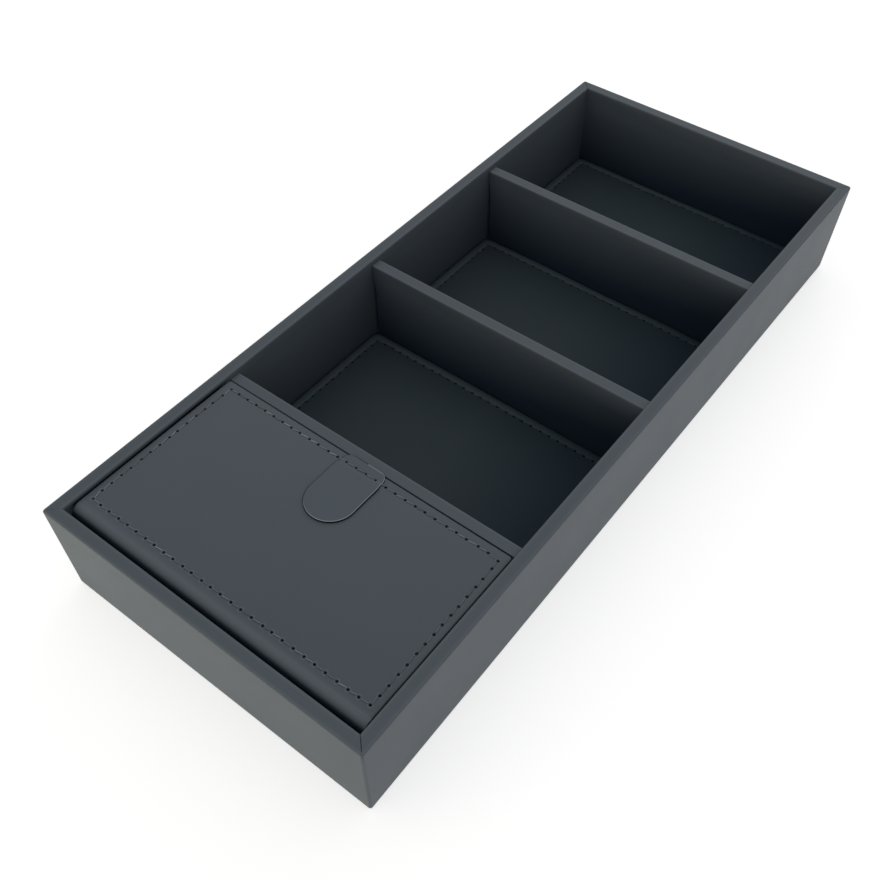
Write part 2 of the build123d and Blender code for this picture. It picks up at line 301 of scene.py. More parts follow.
def skew_shift(x, y, low, high, corners):
    """Shift in x and y at each point: the corners' shifts, mixed by the point's place."""
    across = ramp(x, low[0], high[0])[..., None]
    along = ramp(y, low[1], high[1])[..., None]
    front = corners[0] * (1 - across) + corners[1] * across
    back = corners[2] * (1 - across) + corners[3] * across
    return front * (1 - along) + back * along


def seam_shares(length, count):
    """Shares along one straight side of a seam, with a column on every needle hole."""
    step, run = length / count, length / 2 - SEAM_CORNER
    first = step - length / 2
    lead = np.linspace(-run, first, LEAD, endpoint=False)
    body = first + step / PER_STITCH * np.arange((count - 2) * PER_STITCH)
    tail = np.linspace(-first, run, LEAD, endpoint=False)
    return np.concatenate([lead, body, tail]) / run


def hole_columns(count_x, count_y):
    """Numbers of the columns that carry a needle hole, corners included, in their order."""
    found, start = [], 0
    for count in (count_x, count_y, count_x, count_y):
        found += [start + LEAD + PER_STITCH * k for k in range(count - 1)]
        start += 2 * LEAD + (count - 2) * PER_STITCH
        found.append(start + ARC // 2)
        start += ARC
    return np.array(found)


def hole_shape(away, radius):
    """Depth of a needle hole from 0 to 1: flat in its middle half, then a smooth slope."""
    return smooth(ramp(away, radius, 0.45 * radius))


def panel_rows(inset, edge, under):
    """Rows of a panel from under its edge to its middle: how far each lies inside the side,
    front and back edge, and how high against the top. They turn over the edge on a quarter
    circle of the given radius."""
    rim = np.stack([edge * ROUND_ACROSS, -edge * ROUND_DOWN])
    outer = np.concatenate([np.array(under, float).T, rim], axis=1)
    rows = np.stack([np.concatenate([outer[0], at + SEAM_ROWS, at + INNER_ROWS]) for at in inset])
    height = np.concatenate([outer[1], np.zeros(len(SEAM_ROWS) + len(INNER_ROWS))])
    return rows, height


def shape_lid(x, y, z, low, high, towards, on_top, angle):
    """The lid's own form: out of square as its two skews say, mixed by the share of the way
    towards the seam, and a front edge that isn't rounded but dips as the distance squared."""
    share = (towards * on_top)[..., None]
    shift = skew_shift(x, y, low, high, LID_SEAM_SKEW) * share
    shift = shift + skew_shift(x, y, low, high, LID_EDGE_SKEW) * (1 - share)
    x, y = x + shift[..., 0], y + shift[..., 1]
    from_end = (high[0] - low[0]) / 2 - np.abs(x)
    unrounded = (angle == -math.pi / 2) * ramp(from_end, 0.2, 1.8)
    z = np.where((towards > 0) & on_top, z * (1 - unrounded), z)
    roll = ramp(y, low[1] + ROLL_START, low[1])
    return x, y, z - on_top * FRONT_ROLL * roll * roll


def needle_holes(x, y, angle, at, sewing, seed):
    """Places of the needle holes on a seam's row, at the given columns and each a little off
    its line and along it, and how far every point of the grid is from the nearest one."""
    draw = np.random.default_rng(seed)
    row = x.shape[0] - len(INNER_ROWS) - len(SEAM_ROWS) + len(BESIDE_SEAM)
    out = np.stack([np.cos(angle[at]), np.sin(angle[at])], axis=1)
    along = np.column_stack([-out[:, 1], out[:, 0]])
    holes = np.stack([x[row, at], y[row, at]], axis=1)
    holes = holes + out * draw.normal(0, HOLE_DRIFT, (len(at), 1))
    holes = holes + along * draw.normal(0, sewing.stray / MM, (len(at), 1))
    after = np.searchsorted(at, np.arange(x.shape[1])) % len(at)
    plan = np.stack([x, y], axis=-1)
    away = np.minimum(np.linalg.norm(plan - holes[after], axis=-1),
                      np.linalg.norm(plan - holes[after - 1], axis=-1))
    return holes, away


def thin_out(grid):
    """Values of a panel's grid, point by point: every column of the rows up to the inner ones,
    and one column of COARSE in those."""
    fine, inner = grid[:-len(INNER_ROWS)], grid[-len(INNER_ROWS):, ::COARSE]
    return np.concatenate([fine.reshape(-1, *grid.shape[2:]), inner.reshape(-1, *grid.shape[2:])])


def panel_faces(rows, wide):
    """Faces between the points that thin_out() leaves: quads of the fine and of the inner rows,
    a fan from each coarse column to its fine ones, one face in the middle and one below."""
    fine, few = rows - len(INNER_ROWS), wide // COARSE
    first_inner = fine * wide
    step = np.arange(few)
    fan = [first_inner - wide + (step * COARSE + k) % wide for k in range(COARSE + 1)]
    fan += [first_inner + (step + 1) % few, first_inner + step]
    middle = first_inner + (len(INNER_ROWS) - 1) * few + step
    return [grid_faces(fine, wide), np.stack(fan, axis=-1),
            grid_faces(len(INNER_ROWS), few) + first_inner, middle[None], np.arange(wide)[None, ::-1]]


def lid_tone(x, y, z, low, high, near_edge, on_top, lip):
    """Painted shade and painted light of the lid: painted shade down its sides, painted
    highlights where it begins to roll down and on the lips of the needle holes near it, and
    painted light that changes slowly from lighter at the back left to darker at the front right."""
    from_front = y - low[1]
    down = ramp(-z, 0.35, 0.85) * (from_front > 2.0) * near_edge
    along = from_front / (high[1] - low[1])
    to_right = (x - low[0]) / (high[0] - low[0])
    darker = np.clip((1 + to_right - along) / 2, 0, 1)
    # Painted shade down the sides, and painted light from the back left to the front right
    crease = np.maximum(0.85 * down, 0.10 * darker ** 1.5 * on_top)
    edge = 1.5 * bell(from_front + 0.2, 1.7) + 0.45 * (1 - darker) ** 1.5
    # Painted highlight on the lips of the needle holes, strongest near the front
    return crease, edge + 3.0 * lip * np.clip(1.2 - from_front / 40.0, 0.25, 1)


def mat_tone(x, z, inset, to_seam):
    """Painted shade and edge of a mat: painted shade down its sides and slowly darker to the
    right, and lighter on the border outside its seam."""
    crease = np.maximum(0.9 * ramp(-z, 0.03, 0.43), 0.5 * ramp(x, 4.0, 66.0))
    return crease, 4.4 * ramp(to_seam, 0, 0.5) * ramp(inset, 0.8, 2.8) + 0 * x


def sewn_panel(low, high, inset, corners, edge, under, crown, sewing, seed, hinged=False):
    """A padded panel, sewn near its edge, between two corners of its box. The grid has nested
    rounded rectangles for rows and the way round them for columns. Height is the top, less the
    edge's rounding, plus a crown that grows inside the seam as 1 - exp(-distance), less a
    channel exp(-distance squared) along the seam and a round dimple at each needle hole, inside
    a low lip. A hinged panel is the lid. Any other one lies loose: a slow wave lifts its edge
    and another shifts it in and out, both fading inwards as exp(-distance).
    Returns points, faces, the attributes for painted shade and for painted highlight and
    wear, and the needle holes."""
    side, front, back = inset
    half_x = (high[0] - low[0]) / 2
    length_x, length_y = 2 * (half_x - side), high[1] - low[1] - front - back
    count_x, count_y = round(length_x / PITCH), round(length_y / PITCH)
    columns = ring_columns(seam_shares(length_x, count_x), seam_shares(length_y, count_y), ARC)
    angle = columns[2]
    rows, height = panel_rows(inset, edge, under)

    # Corner radius: the panel's own at its edge, the seam's from the seam inwards
    towards = np.clip(rows[0] / side, 0, 1)[:, None]
    radius = np.interp(columns[1], (-1, 1), corners) * (1 - towards) + SEAM_CORNER * towards
    x, y = ring_points(columns, half_x - rows[0], low[1] + rows[1], high[1] - rows[2], radius)
    x = x + (high[0] + low[0]) / 2
    z = np.repeat(height[:, None], x.shape[1], axis=1)
    on_top = (height > -edge - 1e-6)[:, None]
    if hinged:
        x, y, z = shape_lid(x, y, z, low, high, towards, on_top, angle)

    holes, away = needle_holes(x, y, angle, hole_columns(count_x, count_y), sewing, seed)
    distance = (rows[0] - side)[:, None]
    pull = bell(distance, sewing.channel_width / MM) * (0.7 + 0.5 * bell(away, PULL_REACH))
    dimple = hole_shape(away, sewing.hole / MM)
    lip = bell(away - 1.3 * sewing.hole / MM, LIP_WIDTH)
    rise = crown * (1 - np.exp(-np.clip(distance, 0, None) / CROWN_REACH))
    uneven = UNEVEN * ripple(x, y, seed, 70.0, 24.0) * np.clip(1 + distance / side, 0, 1)
    z = z + on_top * (rise + uneven - pull * sewing.channel / MM
                      - dimple * sewing.hole_depth / MM + LIP_HEIGHT * lip)
    if not hinged:
        wave = np.clip(0.45 + ripple(x, y, seed + 50, 120.0, 60.0), 0, 1.3)
        z = z + sewing.lift / MM * np.exp(-rows[0] / LIFT_REACH)[:, None] * wave
        fade = np.exp(-rows[0] / SLIP_REACH)[:, None]
        slip = SLIP * ripple(x, y, seed + 90, 50.0, 22.0) * fade
        x, y = x + slip * np.cos(angle), y + slip * np.sin(angle)

    if hinged:
        crease, bright = lid_tone(x, y, z, low, high, (rows[0] < side / 2)[:, None], on_top, lip)
    else:
        crease, bright = mat_tone(x, z, rows[0][:, None], -distance)
    # Painted shade in the needle holes
    crease = np.maximum(crease, on_top * np.clip(1.7 * dimple - 0.5, 0, 1))
    points = thin_out(np.stack([x, y, high[2] + z], axis=-1))
    attributes = {"crease": thin_out(crease), "edge": thin_out(bright * on_top)}
    deep = np.full(len(holes), high[2] - sewing.channel / MM)
    return points, panel_faces(*x.shape), attributes, np.column_stack([holes, deep])


# A stitch from end to end: shares of its length, heights above the leather, shares of its
# thickness, and how many sides its tube has
STITCH_SHARES = np.array([0.0, 0.07, 0.15, 0.32, 0.5, 0.68, 0.85, 0.93, 1.0])
STITCH_HEIGHTS = np.array([-0.85, -0.42, -0.1, 0.0, 0.02, 0.0, -0.1, -0.42, -0.85])
STITCH_GIRTHS = np.array([0.7, 0.8, 0.92, 1.0, 1.0, 1.0, 0.92, 0.8, 0.7])
STITCH_SIDES = 6


def stitches(name, start, end, sewing, material, seed):
    """Every stitch of a seam as a tube from one needle hole to the next: it climbs out of the
    first hole, lies on the leather and dives into the second, leaning a little to one side.
    The attributes give the way round and along it, how clean each stitch is at random, duller
    as painted shade where the seam runs back on the right, and painted shade on its ends, which
    are in the holes."""
    draw = np.random.default_rng(seed)
    count = len(start)
    along = end - start
    flat = along[:, :2] / np.linalg.norm(along[:, :2], axis=1, keepdims=True)
    side = np.column_stack([-flat[:, 1], flat[:, 0], np.zeros(count)])
    half = sewing.thread / MM / 2
    lean = sewing.slant / MM * (1 + draw.normal(0, 0.3, count))[:, None, None]
    shares = STITCH_SHARES[None, :, None]
    path = start[:, None] + along[:, None] * shares + side[:, None] * lean * (shares - 0.45)
    path[..., 2] += half + STITCH_HEIGHTS + draw.normal(0, 0.025, (count, 1))
    turn = np.arange(STITCH_SIDES) / STITCH_SIDES * 2 * math.pi
    girth = half * STITCH_GIRTHS[None, :, None, None]
    across = side[:, None, None] * np.cos(turn)[None, None, :, None]
    upward = np.array([0, 0, 1.0]) * np.sin(turn)[None, None, :, None]
    points = path[:, :, None] + girth * (across + upward)

    each = len(STITCH_SHARES) * STITCH_SIDES
    first = np.arange(STITCH_SIDES)[::-1]
    last = np.arange(STITCH_SIDES) + each - STITCH_SIDES
    shift = (np.arange(count) * each)[:, None, None]
    faces = [(grid_faces(len(STITCH_SHARES), STITCH_SIDES)[None] + shift).reshape(-1, 4),
             (np.stack([first, last])[None] + shift).reshape(-1, STITCH_SIDES)]

    way = np.zeros(points.shape)
    way[..., 0], way[..., 1] = np.cos(turn), np.sin(turn)
    way[..., 2] = STITCH_SHARES[None, :, None] * np.linalg.norm(along, axis=1)[:, None, None]
    every_point = np.zeros(points.shape[:3])
    clean_and_lit = np.random.default_rng(seed + 500).uniform(0.0, 1.0, (count, 1, 1)) ** 1.2
    # Painted shade: the stitches of the seam that runs back on the right are duller
    clean_and_lit = clean_and_lit * (1 - 0.65 * np.clip(flat[:, 1], 0, 1))[:, None, None]
    # Painted shade on the ends, down in the needle holes
    buried = np.clip(-STITCH_HEIGHTS / 0.4, 0, 1)[None, :, None]
    return mesh_piece(name, points, faces, material,
                      {"thread_way": way, "stitch_tone": clean_and_lit + every_point,
                       "crease": buried + every_point}, sharp=180.0)


# Materials

VECTOR, FLOAT, COLOUR = "NodeSocketVector", "NodeSocketFloat", "NodeSocketColor"
# Colours of painted shade: navy on the leathers, all but black where it is deepest, and all but black
# on thread down in a needle hole
PIT = 0.84            # share of crease above which a leather turns from navy to all but black
SHADE_NAVY = (0.0, 0.013, 0.034, 1)
DEEP_SHADE_BLACK = (0.0, 0.002, 0.006, 1)
HOLE_SHADE = (0.002, 0.003, 0.004, 1)
SLOTS = {part["node"]: part["material_slot"] for part in frame["record"]["subparts"]}

# Pressed board, foam and flocked sheet: dark and light tone, flecks to the metre and sheen
SHEETS = {
    "fibreboard": ((0.11, 0.085, 0.06), (0.24, 0.19, 0.135), 700.0, 0.0),
    "foam": ((0.05, 0.05, 0.05), (0.11, 0.11, 0.105), 1600.0, 0.0),
    "flocked_sheet": ((0.012, 0.013, 0.015), (0.05, 0.053, 0.058), 2400.0, 0.35),
}


def plug(tree, value, socket):
    """Link a socket to another, or write a plain value into it."""
    if isinstance(value, bpy.types.NodeSocket):
        tree.links.new(value, socket)
    else:
        socket.default_value = value


def fill(tree, sockets, **values):
    """Link or write a value into each named socket. Names have _ for a space."""
    for label, value in values.items():
        plug(tree, value, sockets[label.replace("_", " ")])


def math_node(tree, operation, *values, kind="ShaderNodeMath"):
    """The output of a Math node, or of one of the given kind."""
    node = tree.nodes.new(kind)
    node.operation = operation
    for socket, value in zip(node.inputs, values):
        plug(tree, value, socket)
    return node.outputs[0]


def mix_node(tree, factor, first, second, kind="MIX"):
    """The colour that a Mix node makes of two."""
    node = tree.nodes.new("ShaderNodeMix")
    node.data_type, node.blend_type = "RGBA", kind
    plug(tree, factor, node.inputs[0])
    plug(tree, first, node.inputs[6])
    plug(tree, second, node.inputs[7])
    return node.outputs[2]


def range_node(tree, value, **ends):
    """The output of a Map Range node, whose ends are 0 and 1 where no other is given."""
    node = tree.nodes.new("ShaderNodeMapRange")
    fill(tree, node.inputs, Value=value, **ends)
    return node.outputs[0]


def texture(tree, kind, place, scale, **values):
    """A texture node of the given kind on the given coordinates."""
    node = tree.nodes.new("ShaderNodeTex" + kind)
    fill(tree, node.inputs, Vector=place, Scale=scale, **values)
    return node


def new_group(name, inputs, outputs):
    """A shader node group with named sockets, its given values and its results."""
    tree = bpy.data.node_groups.new(name, "ShaderNodeTree")
    for label, kind, value in inputs:
        socket = tree.interface.new_socket(label, in_out="INPUT", socket_type=kind)
        socket.default_value = value
    for label, kind in outputs:
        tree.interface.new_socket(label, in_out="OUTPUT", socket_type=kind)
    return tree, tree.nodes.new("NodeGroupInput").outputs, tree.nodes.new("NodeGroupOutput").inputs


def use_group(tree, name, make, **values):
    """The outputs of a shared group in a material. It is made when it is first asked for."""
    node = tree.nodes.new("ShaderNodeGroup")
    node.node_tree = bpy.data.node_groups.get(name) or make(name)
    fill(tree, node.inputs, **values)
    return node.outputs


def grain_group(name):
    """Grain of pressed leather: small rounded pebbles between fine valleys, on slow swells.
    Height is 0 in the valleys and 1 on the pebbles; Mottle is a cloudy tone from 0 to 1."""
    tree, given, result = new_group(
        name, [("Vector", VECTOR, (0, 0, 0)), ("Pebbles", FLOAT, 2400.0)],
        [("Height", FLOAT), ("Mottle", FLOAT)])
    place = given["Vector"]
    bend = texture(tree, "Noise", place, 900.0, Detail=2.0)
    bent = math_node(tree, "MULTIPLY_ADD", bend.outputs["Color"], (0.00025, 0.00025, 0.00025),
                     place, kind="ShaderNodeVectorMath")
    pebbles = texture(tree, "Voronoi", bent, given["Pebbles"])
    swell = texture(tree, "Noise", place, 420.0, Detail=4.0, Roughness=0.6)
    bump = math_node(tree, "SUBTRACT", 1.0, pebbles.outputs["Distance"])
    height = math_node(tree, "MULTIPLY_ADD", swell.outputs["Fac"], 0.9, bump)
    cloud = texture(tree, "Noise", place, 38.0, Detail=5.0, Roughness=0.55)
    speck = texture(tree, "Noise", place, 1500.0, Detail=2.0)
    clouded = math_node(tree, "MULTIPLY", cloud.outputs["Fac"], 0.65)
    mottle = math_node(tree, "MULTIPLY_ADD", speck.outputs["Fac"], 0.35, clouded)
    fill(tree, result, Height=height, Mottle=mottle)
    return tree


def tone_group(name):
    """Tone of a leather surface: a cloudy base colour, lighter and smoother with painted
    highlight and wear on edges, navy and rough with painted shade, and all but black in the
    deepest painted shade."""
    tree, given, result = new_group(
        name,
        [("Colour", COLOUR, (0.04, 0.05, 0.05, 1)), ("Mottle", FLOAT, 0.5),
         ("Cloudiness", FLOAT, 0.16), ("Edge", FLOAT, 0.0), ("Rubbed", FLOAT, 0.3),
         ("Crease", FLOAT, 0.0), ("Roughness", FLOAT, 0.5)],
        [("Colour", COLOUR), ("Roughness", FLOAT)])
    centred = math_node(tree, "SUBTRACT", given["Mottle"], 0.5)
    gain = math_node(tree, "MULTIPLY_ADD", centred, given["Cloudiness"], 1.0)
    grey = tree.nodes.new("ShaderNodeCombineColor")
    for socket in grey.inputs:
        tree.links.new(gain, socket)
    base = mix_node(tree, 1.0, given["Colour"], grey.outputs[0], "MULTIPLY")
    # Painted highlight and wear: the base colour about three times lighter
    rubbed = mix_node(tree, 1.0, base, (3.0, 2.8, 2.7, 1), "MULTIPLY")
    highlight_and_wear_share = math_node(tree, "MULTIPLY", given["Edge"], given["Rubbed"])
    # Painted shade: navy, then all but black above PIT
    blue = mix_node(tree, given["Crease"], mix_node(tree, highlight_and_wear_share, base, rubbed), SHADE_NAVY)
    pit = range_node(tree, given["Crease"], From_Min=PIT)
    rough = math_node(tree, "MULTIPLY_ADD", centred, 0.18, given["Roughness"])
    rough = math_node(tree, "MULTIPLY_ADD", given["Crease"], 0.4, rough)
    rough = math_node(tree, "MULTIPLY_ADD", highlight_and_wear_share, -0.12, rough)
    fill(tree, result, Colour=mix_node(tree, pit, blue, DEEP_SHADE_BLACK), Roughness=rough)
    return tree


def fleck_group(name):
    """Flecks and short fibres of a pressed or flocked sheet: a mask from 0 to 1 and a height."""
    tree, given, result = new_group(
        name, [("Vector", VECTOR, (0, 0, 0)), ("Flecks", FLOAT, 900.0)],
        [("Mask", FLOAT), ("Height", FLOAT)])
    fine = texture(tree, "Noise", given["Vector"], given["Flecks"], Detail=6.0, Roughness=0.7)
    cells = texture(tree, "Voronoi", given["Vector"], given["Flecks"])
    mask = range_node(tree, fine.outputs["Fac"], From_Min=0.35, From_Max=0.68)
    height = math_node(tree, "MULTIPLY_ADD", cells.outputs["Distance"], 0.5, fine.outputs["Fac"])
    fill(tree, result, Mask=mask, Height=height)
    return tree


def new_material(name, roughness=0.8, specular=0.4):
    """A material, its node tree and its Principled shader."""
    material = bpy.data.materials.new(name)
    material.use_nodes = True
    tree = material.node_tree
    shader = next(n for n in tree.nodes if n.type == "BSDF_PRINCIPLED")
    fill(tree, shader.inputs, Roughness=roughness, Specular_IOR_Level=specular)
    return material, tree, shader


def object_place(tree):
    """Object coordinates, in metres."""
    return tree.nodes.new("ShaderNodeTexCoord").outputs["Object"]


def add_bump(tree, shader, height, distance):
    """Bump from a height, as deep as the distance says."""
    bump = tree.nodes.new("ShaderNodeBump")
    fill(tree, bump.inputs, Strength=1.0, Distance=distance, Height=height)
    fill(tree, shader.inputs, Normal=bump.outputs["Normal"])


def attribute_value(tree, label, output="Fac"):
    """The piece's own attribute: nought where it has none."""
    node = tree.nodes.new("ShaderNodeAttribute")
    node.attribute_name = label
    return node.outputs[output]


def leather_material(name, colour, finish, rubbed):
    """Smooth pressed leather: fine grain, cloudy tone, painted highlight and wear on edges, and
    painted shade.
    """
    material, tree, shader = new_material(name, specular=0.22)
    grain = use_group(tree, "Leather grain", grain_group, Vector=object_place(tree),
                      Pebbles=1 / finish.grain)
    tone = use_group(tree, "Leather tone", tone_group, Colour=(*colour, 1.0),
                     Mottle=grain["Mottle"], Edge=attribute_value(tree, "edge"), Rubbed=rubbed,
                     Crease=attribute_value(tree, "crease"), Roughness=finish.roughness)
    fill(tree, shader.inputs, Base_Color=tone["Colour"], Roughness=tone["Roughness"])
    add_bump(tree, shader, grain["Height"], finish.grain_relief)
    return material


def fleck_material(name, dark, light, flecks, sheen):
    """Pressed board, foam or flocked sheet: two tones mixed by the flecks."""
    material, tree, shader = new_material(name, 0.9, 0.25)
    shader.inputs["Sheen Weight"].default_value = sheen
    group = use_group(tree, "Fibre flecks", fleck_group, Vector=object_place(tree), Flecks=flecks)
    fill(tree, shader.inputs, Base_Color=mix_node(tree, group["Mask"], (*dark, 1), (*light, 1)))
    add_bump(tree, shader, group["Height"], 0.00006)
    return material


def lining_material(name):
    """Thin woven lining: two crossed sets of fine ribs."""
    material, tree, shader = new_material(name, 0.85, 0.3)
    place = object_place(tree)
    warp = texture(tree, "Wave", place, 620.0, Distortion=0.6)
    weft = texture(tree, "Wave", place, 620.0, Distortion=0.6)
    weft.bands_direction = "Y"
    weave = math_node(tree, "MULTIPLY", warp.outputs["Fac"], weft.outputs["Fac"])
    uneven = texture(tree, "Noise", place, 700.0, Detail=3.0)
    tone = math_node(tree, "MULTIPLY", weave, uneven.outputs["Fac"])
    colour = mix_node(tree, tone, (0.010, 0.011, 0.013, 1), (0.045, 0.049, 0.054, 1))
    fill(tree, shader.inputs, Base_Color=colour)
    add_bump(tree, shader, weave, 0.00005)
    return material


def thread_material(name, colour):
    """Twisted sewing thread: its plies run round it as they go along it. A stitch is dull where
    it is worn and where painted shade dims it, and all but black as painted shade where it is
    down in a needle hole."""
    plies, twist = 3.0, 9.0
    material, tree, shader = new_material(name, 0.62, 0.4)
    split = tree.nodes.new("ShaderNodeSeparateXYZ")
    tree.links.new(attribute_value(tree, "thread_way", "Vector"), split.inputs[0])
    turn = math_node(tree, "ARCTAN2", split.outputs["Y"], split.outputs["X"])
    phase = math_node(tree, "MULTIPLY_ADD", split.outputs["Z"], twist,
                      math_node(tree, "MULTIPLY", turn, plies))
    ply = math_node(tree, "MULTIPLY_ADD", math_node(tree, "SINE", phase), 0.5, 0.5)
    fluff = texture(tree, "Noise", object_place(tree), 2600.0, Detail=2.0)
    tone = math_node(tree, "MULTIPLY", ply, fluff.outputs["Fac"])
    bright, shade, worn_and_shaded = ((*[share * c for c in colour], 1.0) for share in (1.0, 0.6, 0.22))
    clean_and_lit = mix_node(tree, tone, shade, bright)
    lying = mix_node(tree, attribute_value(tree, "stitch_tone"), worn_and_shaded, clean_and_lit)
    # Painted shade where the thread is down in a needle hole
    colour = mix_node(tree, attribute_value(tree, "crease"), lying, HOLE_SHADE)
    fill(tree, shader.inputs, Base_Color=colour)
    add_bump(tree, shader, ply, 0.00004)
    return material


def material_of(slot):
    """The finish that goes with one of the record's material slots, or the mats' own thread,
    made when it is first asked for. The CAD nodes bring plain materials under the slots' names."""
    name = slot + "_finish"
    if name in bpy.data.materials:
        return bpy.data.materials[name]
    finish = bpy.context.scene.tray_leather
    if slot in SHEETS:
        return fleck_material(name, *SHEETS[slot])
    if slot == "lining_cloth":
        return lining_material(name)
    colour = getattr(finish, slot.replace("leather", "colour").replace("thread", "thread_colour"))
    if slot.endswith("thread"):
        return thread_material(name, colour)
    # The pull tab has the strongest painted highlight and wear
    return leather_material(name, colour, finish, rubbed=0.7 if slot == "tab_leather" else 0.1)


# Operators

WALL = 6.0            # thickness of a covered wall
SKIN = 0.5            # thickness of the leather
TAB_SIDEWAYS = 0.8    # how much further right the pull tab lies than its CAD nodes
TAB_SHORTER = 0.5     # how much nearer its tip is

# Lamps: name, place, point that it faces, width, height and colour
LAMPS = (
    ("front_lamp", (-0.42, -0.66, 0.05), (-0.05, -0.2, 0.02), 0.5, 0.09, (1.0, 0.88, 0.60)),
    ("back_lamp", (-0.35, 1.6, 0.85), (0.0, 0.1, 0.0), 1.0, 0.6, (1.0, 1.0, 1.0)),
    ("side_lamp", (1.1, 0.25, 0.05), (0.084, 0.05, 0.02), 1.1, 0.09, (1.0, 0.88, 0.83)),
)


def wall_shade(x, z):
    """Painted shade on a compartment's wall: none near the rim and darker towards the floor,
    less on the left and more on the right. It stops where the painted shade would turn all but black."""
    depth = ramp(z, 43.0, 8.0)
    to_right = 0.26 * ramp(x, 5.0, 65.0) * ramp(z, 47.0, 39.0)
    shade = 0.94 * depth ** 0.8 * (1 + 0.16 * np.clip(x / 60.0, -0.5, 0)) + to_right
    return np.minimum(shade, PIT)


class TRAY_OT_wall_cover(bpy.types.Operator):
    """Makes the wall cover: one leather round the outside, over the rim and down the inside.
    Its rows follow that section and its columns run round nested rounded rectangles. The edges
    are quarter circles, and a sum of slow sine waves moves the upright faces in and out."""

    bl_idname = "tray.wall_cover"
    bl_label = "Wall Cover"

    def execute(self, context):
        low, high = box_mm("wall_cover")
        half_x, half_y = high[0], high[1]
        corner, rim, foot, under = 1.2, 0.75, 0.9, 12.0
        floor = box_mm("base_lining")[0][2]
        top, bottom = high[2], low[2]
        rise = np.array([4.0, 8.0, 14.0, 20.0, 26.0, 32.0, 38.0, 43.0, 47.0, 49.5, 51.0])
        flat = np.linspace(rim, WALL - rim, 11)[1:-1]
        inset = np.concatenate([
            [under, 8.0, 4.0], foot * ROUND_DOWN, 0 * rise, rim * ROUND_ACROSS, flat,
            WALL - rim * ROUND_DOWN, WALL + 0 * rise[1:], [WALL, WALL - SKIN, WALL - SKIN, under]])
        level = np.concatenate([
            [bottom] * 3, bottom + foot * ROUND_ACROSS, rise, top - rim * ROUND_DOWN,
            top + 0 * flat, top - rim * ROUND_ACROSS, rise[:0:-1],
            [floor, floor, bottom + SKIN, bottom + SKIN]])
        near = [0.0, 0.08, 0.18, 0.32, 0.6, 1.2, 2.4, 5.0, 10.0]
        columns = ring_columns(dense_ends(half_x - corner, near, 7.0),
                               dense_ends(half_y - corner, near, 7.0), 12)
        radius = np.maximum(corner - inset, 0.3)[:, None]
        x, y = ring_points(columns, half_x - inset, inset - half_y, half_y - inset, radius)
        z = np.repeat(level[:, None], x.shape[1], axis=1)

        # The rim leather is cut and butted along each corner's diagonal, with painted shade in the
        # slit
        off = np.abs((half_x - np.abs(x)) - (half_y - np.abs(y))) / math.sqrt(2)
        span = ramp(inset, rim, rim + 0.8)[:, None] * (level > top - rim - 0.01)[:, None]
        openness = np.where(x > 0, np.where(y < 0, 1.0, 0.2), np.where(y < 0, 0.3, 0.7))
        slit = ramp(off, 0.18, 0) * span * openness
        z = z - 0.35 * slit
        # A short pinch under the rim where the leather is folded round the upright corner, with
        # painted shade in the pinch
        pinch = bell(level - (top - 2.0), 1.1) * (inset < 0.3)
        fold = ramp(off, 0.35, 0) * pinch[:, None]
        scale = 1 - 0.0011 * fold
        x, y = x * scale, y * scale
        # The upright faces swell and sink slowly, but only away from the boards
        swell = 0.045 * ripple(y + 2 * z, x - 3 * z, 31, 110.0, 45.0)
        body = (ramp(level, 3.0, 7.0) * ramp(level, top - 1.5, top - 5.5))[:, None]
        outward = np.where(inset < WALL / 2, -1.0, 1.0)[:, None] * np.minimum(swell, 0) * body
        x = x + outward * np.cos(columns[2])
        y = y + outward * np.sin(columns[2])

        # Painted shade in the gap between the front compartment's walls and the lid, and darker
        # towards the floor down the compartments' walls
        inner = (inset > WALL - 0.02)[:, None]
        gap = ramp(z, top - 0.7, top - 1.8) * ramp(z, 46.5, 49.0) * inner
        from_corner = np.hypot(half_x - WALL - np.abs(x), half_y - WALL + y)
        gap = gap * (y < box_mm("lid_leather")[1][1]) * np.maximum(ramp(from_corner, 2.0, 3.2), 0.25)
        shade = wall_shade(x, z) * np.where(np.abs(y) > half_y - WALL - 0.1, 1.0, 0.5) * inner
        crease = np.clip(0.7 * slit + 0.6 * fold + np.maximum(gap, shade), 0, 1)
        # Painted highlight and wear along the rim's rounded edges
        round_edge = bell(inset - 0.8, 0.4) + bell(inset - WALL + 0.8, 0.4)
        edge = (round_edge * (level > top - rim))[:, None] + 0 * x
        faces = [grid_faces(len(inset), x.shape[1], wrap_rows=True)]
        cover = mesh_piece("wall_leather", np.stack([x, y, z], -1), faces,
                           material_of("tray_leather"), {"crease": crease, "edge": edge})
        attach(cover, "tray")
        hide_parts("wall_cover")
        return {"FINISHED"}


